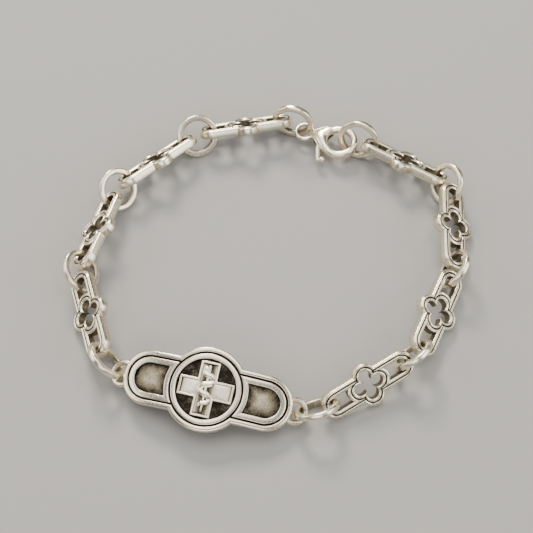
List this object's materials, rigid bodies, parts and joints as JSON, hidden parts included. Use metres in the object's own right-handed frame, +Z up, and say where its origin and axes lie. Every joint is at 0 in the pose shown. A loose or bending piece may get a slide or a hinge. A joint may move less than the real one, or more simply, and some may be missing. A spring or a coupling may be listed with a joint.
{
  "type": "medical alert bracelet",
  "caption": "Chain bracelet of pierced four-lobed links and round rings, with a curved identity plate carrying a raised emblem, and a lobster clasp with a lever.",
  "frame": {"origin": "middle of the bounding box, at the height of the table that the bracelet lies on", "axes": "+X to the right of the plate as it is read, +Y away from the plate across the wrist opening, +Z up from the table"},
  "size_m": [0.0674, 0.0622, 0.0082],
  "materials": {
    "silver": "polished sterling silver with darkened recesses"
  },
  "bodies": {
    "bracelet": {"plate": "silver", "link_1": "silver", "link_2": "silver", "link_3": "silver", "link_4": "silver", "link_5": "silver", "link_6": "silver", "link_7": "silver", "link_8": "silver", "ring_1": "silver", "ring_2": "silver", "ring_3": "silver", "ring_4": "silver", "ring_5": "silver", "ring_6": "silver", "ring_7": "silver", "ring_8": "silver", "ring_9": "silver", "ring_10": "silver", "clasp_body": "silver"},
    "lever": {"clasp_lever": "silver"}
  },
  "joints": [
    {"name": "lever_hinge", "type": "hinge", "parent": "bracelet", "child": "lever", "pos_m": [0.00852, 0.02617, 0.00191], "axis": [0.0691, 0.0265, -0.9973], "range_deg": [0, 16], "stiffness_Nm_per_rad": 0.004, "springref_deg": -8.59}
  ]
}
